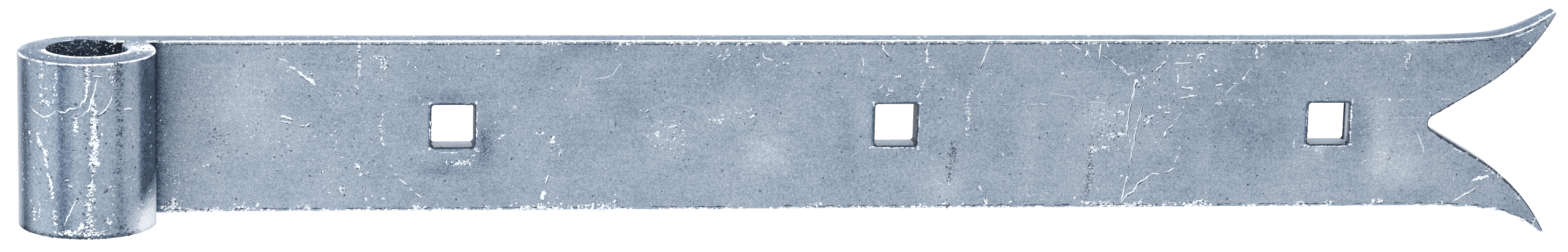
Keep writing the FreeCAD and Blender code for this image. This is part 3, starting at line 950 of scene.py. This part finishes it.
# Patches of flecks: count, size, middle and reach
patches = (
    (14, 0.80, (-8.6, 13.4), (1.6, 0.8)),
    (6, 0.70, (-8.5, 17.2), (0.5, 0.5)),
    (18, 0.85, (-0.2, 8.3), (0.5, 1.9)),
    (6, 0.80, (-14.1, 4.3), (0.8, 0.3)),
    (3, 0.50, (-14.6, 9.0), (0.4, 0.2)),
    (10, 0.90, (-12.7, -18.3), (0.6, 1.0)),
    (8, 0.80, (-11.3, -18.9), (0.6, 0.9)),
    (5, 0.80, (-12.5, -20.6), (0.5, 0.3)),
    (14, 0.80, (-6.2, -18.5), (0.5, 2.0)),
    (7, 0.80, (-5.6, -20.8), (0.6, 0.4)),
    (18, 1.00, (1.6, -21.3), (1.4, 0.8)),
    (12, 0.80, (8.7, -20.2), (0.5, 0.9)),
    (5, 0.60, (-12.0, -6.2), (1.0, 0.5)),
    (4, 0.60, (-7.8, 8.2), (0.5, 1.0)),
    (34, 1.00, (-2.5, -23.1), (2.2, 0.6)),
    (28, 0.90, (5.0, -23.3), (3.0, 0.5)),
    (16, 0.70, (17.2, -19.0), (0.9, 3.0)),
    (8, 0.50, (6.2, 0.8), (0.6, 1.5)),
    (24, 0.70, (83.7, 18.5), (1.2, 2.2)),
    (9, 0.60, (81.8, 20.4), (1.2, 0.4)),
    (6, 0.40, (82.3, 14.0), (1.0, 1.0)),
    (11, 0.85, (76.2, -11.7), (0.7, 0.8)),
    (5, 0.70, (76.9, -14.0), (0.7, 0.25)),
    (4, 0.70, (79.0, -13.6), (0.6, 0.3)),
    (14, 0.80, (71.8, -18.2), (0.7, 0.8)),
    (4, 0.70, (77.6, -18.6), (0.3, 0.4)),
    (4, 0.70, (71.7, -9.0), (0.7, 0.2)),
    (4, 0.50, (70.5, 9.3), (0.6, 1.0)),
    (4, 0.60, (69.0, -2.3), (0.5, 0.7)),
    (3, 0.45, (63.5, -2.8), (0.6, 0.3)),
    (5, 0.60, (78.6, -21.8), (0.3, 1.2)),
    (4, 0.60, (79.3, -23.6), (0.4, 0.3)),
    (4, 0.55, (83.5, -21.0), (0.6, 0.3)),
    (4, 0.60, (32.3, -11.4), (0.4, 0.2)),
    (7, 0.75, (34.1, -11.0), (0.6, 0.6)),
    (44, 0.95, (23.5, -23.4), (2.0, 0.9)),
    (14, 0.80, (24.0, -21.6), (0.8, 0.9)),
    (18, 0.80, (28.0, -24.2), (2.5, 0.4)),
    (26, 0.80, (34.5, -24.0), (2.5, 0.5)),
    (3, 0.50, (90.5, 18.4), (0.4, 0.6)),
    (4, 0.50, (92.3, 17.3), (0.6, 0.3)),
    (3, 0.50, (87.5, 17.6), (0.3, 0.4)),
    (4, 0.45, (93.0, 22.7), (0.3, 0.6)),
    (16, 0.85, (131.8, -4.3), (0.9, 0.9)),
    (5, 0.80, (128.3, -2.3), (0.5, 0.4)),
    (18, 0.70, (105.3, -10.8), (1.6, 0.6)),
    (8, 0.60, (107.5, -10.9), (0.9, 0.4)),
    (10, 0.60, (113.4, -24.0), (0.6, 0.6)),
    (4, 0.45, (172.8, 13.7), (0.7, 0.3)),
    (6, 0.60, (181.4, 22.5), (0.3, 0.8)),
    (4, 0.60, (185.0, 22.3), (0.4, 0.3)),
    (6, 0.80, (190.9, 17.7), (0.4, 0.5)),
    (6, 0.80, (198.6, 18.3), (0.7, 0.4)),
    (3, 0.60, (196.0, 17.7), (0.6, 0.2)),
    (18, 0.65, (178.5, 1.2), (1.6, 1.1)),
    (5, 0.50, (188.0, 4.5), (1.0, 0.4)),
    (4, 0.50, (189.0, 5.0), (0.5, 0.2)),
    (6, 0.75, (189.5, 2.9), (0.6, 0.4)),
    (5, 0.50, (185.5, 3.8), (0.8, 0.4)),
    (9, 0.70, (162.0, -2.2), (0.6, 0.8)),
    (4, 0.50, (163.0, -1.8), (0.6, 0.3)),
    (7, 0.55, (158.8, -2.8), (0.8, 0.6)),
    (3, 0.60, (156.4, -6.0), (0.4, 0.2)),
    (6, 0.55, (167.0, -3.5), (0.4, 1.0)),
    (7, 0.45, (169.5, -2.0), (0.8, 1.5)),
    (4, 0.45, (168.0, -7.9), (1.0, 0.3)),
    (5, 0.60, (184.0, -23.4), (0.7, 0.5)),
    (9, 0.80, (198.2, 24.1), (0.9, 0.5)),
    (7, 0.80, (187.6, 24.2), (0.8, 0.3)),
    (6, 0.70, (178.8, 24.3), (0.6, 0.3)),
    (3, 0.60, (173.6, 24.2), (0.4, 0.3)),
    (3, 0.60, (168.7, 24.2), (0.3, 0.3)),
    (5, 0.70, (166.0, 23.9), (0.5, 0.6)),
    (3, 0.60, (150.9, 24.2), (0.5, 0.3)),
    (9, 0.60, (231.5, 14.3), (1.6, 0.3)),
    (9, 0.65, (242.5, 17.1), (1.4, 0.25)),
    (7, 0.60, (229.0, 10.0), (1.0, 0.7)),
    (4, 0.60, (228.6, 9.0), (0.5, 0.2)),
    (6, 0.70, (215.5, -23.7), (0.7, 0.6)),
    (4, 0.60, (239.0, -23.7), (0.6, 0.4)),
    (6, 0.70, (246.3, -23.3), (0.7, 0.5)),
    (7, 0.60, (278.5, 22.3), (0.8, 1.3)),
    (6, 0.60, (262.0, 24.2), (1.2, 0.3)),
    (7, 0.60, (296.5, 16.6), (0.9, 0.5)),
    (5, 0.55, (307.0, 13.2), (0.5, 0.8)),
    (11, 0.85, (297.0, 3.3), (1.0, 0.6)),
    (5, 0.60, (295.6, 2.5), (0.4, 0.4)),
    (7, 0.60, (299.0, 5.5), (0.8, 0.6)),
    (5, 0.50, (288.2, 3.6), (0.6, 0.6)),
    (7, 0.55, (291.5, 2.5), (1.0, 1.2)),
    (4, 0.50, (292.5, 4.5), (0.6, 0.3)),
    (7, 0.60, (297.0, -0.3), (1.2, 0.3)),
    (11, 0.80, (297.0, -3.0), (1.6, 0.5)),
    (9, 0.60, (295.0, -4.2), (1.0, 0.6)),
    (16, 0.85, (290.0, -7.4), (1.3, 0.6)),
    (9, 0.75, (292.7, -6.8), (1.0, 0.5)),
    (9, 0.75, (305.3, 1.8), (0.6, 1.0)),
    (4, 0.60, (306.5, 2.4), (0.4, 0.4)),
    (6, 0.70, (309.0, 4.9), (0.6, 0.5)),
    (7, 0.60, (318.5, 8.5), (1.0, 0.3)),
    (6, 0.60, (317.7, 10.4), (0.8, 0.6)),
    (9, 0.75, (319.8, 19.6), (0.7, 0.9)),
    (5, 0.60, (316.4, 20.4), (0.8, 0.3)),
    (7, 0.55, (323.0, 22.2), (1.0, 0.5)),
    (5, 0.60, (325.8, 8.4), (0.4, 0.6)),
    (11, 0.65, (286.9, 21.0), (0.6, 1.0)),
    (16, 0.65, (338.0, 23.4), (1.4, 0.8)),
    (7, 0.65, (336.8, 20.3), (0.4, 1.4)),
    (4, 0.55, (338.0, 20.7), (0.6, 0.3)),
    (12, 0.85, (287.8, -23.4), (1.2, 0.8)),
    (30, 0.80, (300.0, -24.2), (6.0, 0.35)),
    (26, 0.80, (321.0, -24.2), (4.0, 0.35)),
    (9, 0.55, (382.0, 19.5), (0.8, 1.8)),
    (6, 0.55, (381.4, 17.3), (0.4, 0.8)),
    (5, 0.50, (381.0, 13.4), (0.3, 0.8)),
    (5, 0.40, (375.0, -1.0), (0.8, 0.6)),
    (9, 0.80, (413.6, 18.8), (0.9, 0.8)),
    (4, 0.70, (400.6, -8.9), (0.6, 0.4)),
    (7, 0.65, (408.0, -13.8), (0.8, 0.5)),
    (6, 0.60, (412.0, -16.3), (1.0, 0.6)),
    (7, 0.65, (417.9, -22.5), (0.6, 1.0)),
    (13, 0.70, (410.0, -25.8), (1.4, 0.3)),
    (5, 0.60, (389.4, 2.9), (0.4, 0.4)),
)

# Fine speckling: count of bright and of dark flecks, size, middle and reach
speckles = (
    (100, 70, 0.44, (30, 8), (8, 16)),
    (60, 60, 0.55, (62, 0), (24, 22)),
    (40, 44, 0.55, (300, 2), (20, 20)),
    (30, 12, 0.50, (26.5, -15), (3.5, 4.5)),
    (30, 40, 0.48, (37, -3), (3.5, 6)),
    (34, 16, 0.45, (55, 0), (14, 18)),
    (34, 20, 0.48, (78, 0), (9, 20)),
    (26, 12, 0.50, (106, -10.8), (3.2, 0.9)),
    (16, 14, 0.45, (113, -5), (3, 5)),
    (34, 20, 0.45, (135, 0), (14, 18)),
    (44, 24, 0.48, (164, -2), (8, 7)),
    (40, 20, 0.48, (190, 2), (14, 16)),
    (34, 26, 0.45, (235, 10), (14, 12)),
    (20, 26, 0.45, (262, 0), (10, 18)),
    (60, 40, 0.50, (294, 0), (7, 8)),
    (40, 26, 0.48, (311, 8), (9, 12)),
    (30, 20, 0.45, (338, 5), (12, 14)),
    (26, 26, 0.45, (374, 0), (10, 16)),
    (20, 22, 0.45, (405, -18), (8, 6)),
)

# Clumps of zinc along the lower edge, from x to x, and blobs along the upper one
bottom_clumps = (
    (40, 48), (60, 63), (92, 96), (119, 135), (137, 150), (206, 210), (289, 295), (298, 305), (311, 313),
    (317, 324), (350.5, 352), (359, 361), (372, 376),
)
top_blobs = (53, 54.5, 150.8, 153.5, 166, 168.8, 173.5, 178.7, 184.8, 187.5, 193.5, 197.6, 198.6, 203)

# Clots in the corners of the punched holes, and painted highlights: bright lines beside their rims
hole_corners = (
    (96.7, 6.7), (109.9, 6.7), (96.6, -6.6), (110.0, -6.7), (237.9, 6.6), (224.6, 6.4), (224.6, -6.6),
    (237.9, -6.6), (365.9, 6.6), (366.0, -6.5), (352.6, -6.6),
)
hole_rim_highlights = (
    (0.42, 0.95, (96.7, 1.8), (96.75, -3.6)),
    (0.36, 0.75, (99.8, -7.6), (104.6, -7.8)),
    (0.34, 0.55, (110.1, 5.5), (110.1, -5.5)),
    (0.36, 0.80, (225.5, -6.75), (237.0, -6.75)),
    (0.34, 0.50, (237.9, 5.0), (237.9, -5.0)),
    (0.42, 0.85, (365.8, 5.4), (365.8, -5.4)),
    (0.36, 0.85, (353.0, -6.75), (365.0, -6.75)),
    (0.30, 0.45, (352.6, 4.0), (352.6, -5.0)),
)

# Single flecks: place and size
lone_flecks = (
    (19.0, 18.5, 0.6), (30.0, 16.7, 0.6), (46.8, 11.5, 0.7), (23.4, -15.2, 0.8), (24.3, -16.4, 0.6),
    (22.3, -16.8, 0.6), (27.4, -13.0, 0.7), (27.2, -9.6, 0.7), (70.7, -5.1, 0.5), (74.2, -9.1, 0.5),
    (95.0, 21.0, 0.6), (108.2, 21.6, 0.7), (102.2, 13.9, 0.8), (105.7, 15.5, 0.5), (94.8, 6.4, 0.6),
    (85.7, -11.5, 0.8), (134.0, 22.4, 0.9), (131.4, 11.1, 0.7), (127.2, -2.1, 0.9), (130.2, -1.1, 0.6),
    (133.5, -5.5, 0.7), (120.6, -17.7, 0.6), (122.2, -18.4, 0.5), (124.0, -17.8, 0.5), (133.4, -21.2, 0.5),
    (120.7, 3.7, 0.8), (112.6, 19.0, 0.7), (176.4, 16.2, 0.7), (149.6, 22.5, 0.7), (206.5, 16.0, 0.7),
    (189.3, 11.7, 0.7), (199.0, 8.9, 0.6), (166.7, 1.5, 0.8), (162.7, 1.0, 0.6), (160.4, 0.0, 0.6),
    (166.6, -5.3, 0.6), (169.5, -5.6, 0.6), (171.8, -7.1, 0.6), (152.6, -9.6, 0.7), (155.4, -7.0, 0.5),
    (161.4, -6.0, 0.5), (165.0, -7.6, 0.5), (188.4, -19.9, 0.8), (189.4, -22.2, 0.7), (189.8, -23.5, 0.6),
    (207.4, -4.4, 0.6), (213.0, 1.6, 0.5), (193.0, 6.0, 0.5), (198.3, -10.1, 0.5), (212.5, 22.0, 0.5),
    (205.0, 20.0, 0.5), (207.5, 20.6, 0.6), (238.1, 16.0, 0.6), (216.2, 14.5, 0.6), (227.0, 13.5, 0.5),
    (216.3, 20.2, 0.4), (244.9, 8.2, 0.8), (250.8, 20.4, 0.6), (263.0, -9.0, 0.5), (261.7, 0.7, 0.5),
    (269.2, -2.8, 0.6), (251.7, -23.5, 0.7), (227.1, -22.9, 0.8), (265.6, -23.0, 0.9), (220.9, 21.4, 0.5),
    (303.6, 13.8, 0.9), (304.3, 14.1, 0.7), (298.0, 16.0, 0.6), (307.8, 12.2, 0.7), (308.7, 11.5, 0.7),
    (296.0, -6.2, 0.9), (305.3, 0.6, 0.8), (304.4, 1.1, 0.6), (308.2, 0.6, 0.6), (301.3, 13.0, 1.2),
    (313.2, 18.6, 0.7), (324.8, 15.9, 1.0), (322.9, 14.6, 0.6), (322.6, 8.2, 0.6), (323.6, 3.9, 0.5),
    (332.3, 2.1, 0.5), (338.8, 2.3, 0.6), (334.0, 7.2, 0.8), (340.4, 7.2, 0.6), (298.2, -15.3, 1.0),
    (298.6, -14.4, 0.5), (313.5, -17.4, 0.7), (284.6, -21.9, 0.9), (279.5, 15.2, 0.7), (291.3, -19.3, 0.7),
    (333.0, 22.3, 0.7), (312.4, -21.2, 0.7), (348.1, -0.4, 0.8), (350.3, -3.0, 0.6), (358.0, -15.0, 0.6),
    (390.6, 24.5, 1.1), (389.5, 23.0, 0.5), (401.4, 20.6, 0.6), (389.2, -11.7, 0.6), (358.5, 21.8, 0.6),
    (355.0, 23.4, 0.5), (374.3, -1.8, 0.6), (369.3, 3.4, 0.6), (370.0, 6.1, 0.5), (377.0, 7.2, 0.8),
    (418.3, 24.0, 0.8), (423.4, 30.7, 0.8), (404.5, -10.9, 0.6), (339.9, -9.4, 0.5), (380.8, -9.6, 0.5),
)

# Painted shadows: dark crumbs beside the bright ones, as a share of their number
shadow_share = 0.4
trail_shadow_share = 0.26

# Dark scrapes, trails and single pits, as for the bright ones
dark_scrapes = (
    (0.25, (-1.2, 0.6), (0.4, 0.5)),
    (0.50, (35.4, -1.2), (36.2, -0.3)),
    (0.45, (132.5, 16.2), (134.1, 17.1)),
    (0.30, (149.7, -0.3), (150.0, 1.6)),
    (0.40, (377.6, -10.9), (378.3, -10.1)),
    (0.25, (390.5, 10.0), (392.3, 10.4)),
)
dark_trails = (
    (70, 0.60, 1.00, (-15.2, 24.0), (-15.0, 0.0), (-15.2, -24.0)),
    (30, 0.60, 1.20, (-16.0, 24.3), (0.0, 24.3), (14.0, 24.2)),
    (60, 0.45, 1.60, (21.0, 22.0), (20.5, 0.0), (21.0, -22.0)),
    (22, 0.45, 0.40, (-3.6, 20.0), (-3.7, 3.0)),
    (16, 0.40, 1.60, (33.0, -3.0), (36.0, -7.0)),
    (8, 0.40, 1.20, (37.0, -2.5), (38.5, -4.0)),
    (40, 0.42, 2.20, (112.0, -2.0), (113.5, -5.0), (110.5, -8.5)),
    (90, 0.55, 1.10, (248.3, -5.0), (247.8, -12.5)),
    (40, 0.46, 1.00, (247.7, -12.0), (247.0, -18.0)),
    (12, 0.50, 0.70, (246.6, -23.0), (247.4, -24.6)),
    (36, 0.44, 0.80, (289.0, -4.0), (288.8, -12.0)),
    (60, 0.55, 0.80, (288.8, -11.0), (288.4, -20.0)),
    (20, 0.40, 0.80, (288.3, -19.5), (287.4, -22.8)),
)
dark_ticks = (
    (44, 0.80, 1.00, (11.4, 24.6), (11.4, 20.0)),
    (80, 0.68, 0.95, (11.5, 20.0), (11.6, 1.0)),
    (40, 0.58, 1.10, (11.4, 1.0), (11.0, -19.0)),
    (24, 0.75, 1.10, (11.4, -19.0), (11.8, -24.0)),
    (60, 0.55, 1.20, (-15.6, 24.0), (-15.6, -24.0)),
)
pits = (
    (3.2, 4.1, 0.9), (0.7, 17.3, 0.5), (-11.8, -3.8, 0.5), (8.3, -11.0, 0.9), (33.3, 1.5, 0.5),
    (34.2, 0.3, 0.5), (73.5, 10.3, 0.8), (75.0, 19.2, 0.6), (74.7, -5.7, 0.6), (51.7, 8.9, 0.5),
    (72.0, -14.1, 0.5), (29.9, -13.8, 0.5), (23.8, -15.7, 0.5), (26.2, 22.0, 0.5), (113.5, 7.0, 0.6),
    (149.1, -2.0, 0.6), (138.4, -16.5, 0.5), (100.8, -13.9, 0.9), (165.1, -15.0, 0.7), (180.9, -13.3, 0.6),
    (189.9, 0.3, 0.6), (200.3, -22.3, 0.5), (171.2, -10.0, 0.5), (173.0, -23.2, 0.6), (256.5, -13.9, 0.9),
    (244.3, -4.4, 0.6), (245.5, -10.2, 0.5), (315.1, -15.9, 0.6), (300.7, -18.2, 0.5), (372.5, -13.2, 0.4),
    (133.7, 7.0, 0.4), (66.0, 18.6, 0.6), (77.0, -5.3, 0.5),
)


def edge_flecks(marks):
    """Crumbs of zinc along the long edges of the show side, in clumps."""
    x = seam_x + 4
    while x < flare_x:
        x += marks.random.expovariate(1.6)
        clump = noise.noise(Vector((x * 0.11, 3.7, 0)))
        if clump > -0.3:
            z = -half_width + marks.random.uniform(0.25, 0.7) + max(0, clump) * marks.random.random()
            marks.loose_fleck(marks.on_show(x, z), 0.8, 0.8)
        if noise.noise(Vector((x * 0.13, 9.1, 0))) > -0.2:
            marks.loose_fleck(marks.on_show(x, half_width - marks.random.uniform(0.3, 1.1)), 0.62, 0.8)


def hole_loop(marks, width, share, outset):
    """Broken line round each punched hole."""
    reach = hole_half + outset
    for hole in hole_places:
        for across, up in ((1, 0), (-1, 0), (0, 1), (0, -1)):
            first = (hole + reach * across - reach * up, reach * up - reach * across)
            last = (hole + reach * across + reach * up, reach * up + reach * across)
            marks.broken_line(width, share, first, last)


def hole_clots_and_highlights(marks):
    """Clots of zinc in the corners of the punched holes, and painted highlights as broken bright lines beside their
    rims.
    """
    for x, z in hole_corners:
        marks.patch(6, 0.7, (x, z), (0.4, 0.4))
    for entry in hole_rim_highlights:
        marks.broken_line(*entry)


def edge_shade_lines(marks):
    """Painted shade: thin dark lines beside the edges of the show side and round the punched holes."""
    fork_end = cad_high.x / MM - 1.2
    fork_start = fork_root + 2.5
    marks.broken_line(0.42, 0.92, (seam_x + 5, half_width - 1.05), (flare_x, half_width - 1.05))
    marks.broken_line(0.34, 0.45, (seam_x + 5, 1.0 - half_width), (flare_x, 1.0 - half_width))
    marks.edge_line(0.45, 0.90, flare_x, fork_end, half_width - 2, half_width + 12, 1.0)
    marks.edge_line(0.34, 0.60, flare_x, fork_end, 2 - half_width, -half_width - 12, 1.1)
    marks.edge_line(0.50, 0.95, fork_start, fork_end, half_width - 2, 0, 0.35)
    marks.edge_line(0.50, 0.95, fork_start, fork_end, 2 - half_width, 0, 0.5)
    hole_loop(marks, 0.45, 0.85, 0.2)


def fork_edge_highlights(marks):
    """Painted highlights: broken white lines at the fork's edges."""
    fork_end = cad_high.x / MM - 1.2
    marks.edge_line(0.50, 0.85, flare_x + 2, fork_end, 2 - half_width, -half_width - 12, 0.5)
    marks.edge_line(0.40, 0.60, cad_high.x / MM - 12, fork_end, half_width - 2, half_width + 12, 1.6)
    marks.edge_line(0.34, 0.35, fork_root + 4, fork_end, 2 - half_width, 0, 1.2)


def bore_flecks(marks):
    """Crumbs of zinc in the upper part of the bore."""
    for _ in range(190):
        place = marks.in_bore(marks.random.uniform(15, 165), half_width - marks.random.expovariate(0.2))
        marks.loose_fleck(place, 0.6)


def top_flecks(marks, on_eye, on_bar):
    """Flecks over the upper face of the eye and of the bar, drawn out away from the front."""
    places = []
    for _ in range(on_eye):
        angle = marks.random.uniform(0, math.tau)
        reach = marks.random.uniform(bore_radius + 1.6, eye_radius - 1.6)
        places.append((reach * math.cos(angle), reach * math.sin(angle)))
    for _ in range(on_bar):
        places.append((marks.random.uniform(seam_x, flare_x), marks.random.uniform(show_y + 2, back_y - 1.6)))
    for x, y in places:
        length = marks.random.uniform(1.0, 2.5)
        marks.fleck(marks.on_top(x, y), BACK, length, marks.random.uniform(0.5, 1.1), 0.06)


def back_flecks(marks):
    """Thinly scattered flecks over the back."""
    for _ in range(170):
        x = marks.random.uniform(cad_low.x / MM, cad_high.x / MM)
        z = marks.random.uniform(-half_width, half_width)
        marks.loose_fleck(marks.on_back(x, z), 0.6)


def make_marks(tree):
    """Every fleck, scrape and pit, with the painted highlights and painted shadows among them."""
    # Bright marks: zinc flecks and scrapes, with painted highlights at the holes' rims and the fork's edges
    bright = Marks("zinc_flecks_and_highlights", plain_zinc("bright_zinc_and_highlight", grey(212, 222, 232), grey(250, 252, 255), 0.05), tree, 11)
    for entry in scrapes:
        bright.scrape(*entry)
    for entry in trails:
        bright.trail(*entry)
    for entry in patches:
        bright.patch(*entry)
    for x, z, size in lone_flecks:
        bright.loose_fleck(bright.on_show(x, z), size)
    edge_flecks(bright)
    hole_clots_and_highlights(bright)
    fork_edge_highlights(bright)
    top_flecks(bright, 16, 30)
    back_flecks(bright)
    for count, _, size, centre, reach in speckles:
        bright.patch(count, size, centre, reach)
    for x in top_blobs:
        bright.patch(6, 0.75, (x, half_width - 0.9), (0.6, 0.45))
    for start, stop in bottom_clumps:
        bright.trail(round(3 * (stop - start)) + 5, 0.75, 0.8, (start, 1.3 - half_width), (stop, 1.3 - half_width))
    bright.finish()
    faint = Marks("faint_scrapes", plain_zinc("pale_zinc", grey(172, 184, 197), grey(208, 216, 224), 0.05), tree, 12)
    for entry in faint_scrapes:
        faint.scrape(*entry)
    faint.patch(10, 1.0, (356.3, -7.5), (0.9, 1.1))
    faint.patch(8, 0.9, (326.0, 6.1), (0.8, 0.4))
    bore_flecks(faint)
    faint.finish()
    # Dark marks: real pits, specks and streaks, with painted shadows beside the bright marks and painted shade lines
    # along edges
    dark = Marks("pits", plain_zinc("dark_zinc_and_shadow", grey(28, 37, 50), grey(74, 89, 108), 0.05), tree, 13)
    edge_shade_lines(dark)
    # Painted shade along the eye's lower edge
    dark.trail(150, 0.7, 0.35, (-15.8, -24.4), (0, -24.5), (15.8, -24.4))
    for _, count, size, centre, reach in speckles:
        dark.patch(count, size, centre, reach)
    for entry in dark_ticks:
        dark.trail(*entry, flat_lying=1)
    # Painted shadows beside the bright patches and trails, and under the bright scrapes
    for count, size, centre, reach in patches:
        dark.patch(round(count * shadow_share), size * 0.8, centre, (reach[0] + 0.3, reach[1] + 0.3))
    for count, size, spread, *points in trails:
        dark.trail(round(count * trail_shadow_share), size * 0.8, spread + 0.55, *points)
    for width, *points in scrapes:
        scrape_shadow = [(x + 0.15, z - 0.8 * width) for x, z in points]
        dark.broken_line(0.28, 0.4, *scrape_shadow)
    for entry in dark_scrapes:
        dark.scrape(*entry)
    for entry in dark_trails:
        dark.trail(*entry)
    for x, z, size in pits:
        dark.loose_fleck(dark.on_show(x, z), size)
    top_flecks(dark, 100, 110)
    dark.finish()


make_camera()
make_light()
make_floor()
# The second material, for the rounded edges, is worn zinc and painted highlight
surface = make_skin(galvanised_steel("galvanised_steel", 0.53, 0), galvanised_steel("worn_and_highlit_edges", 0.56, 0.75))
make_marks(surface)
skin_piece = bpy.data.objects["band_skin"]
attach(skin_piece, "root")
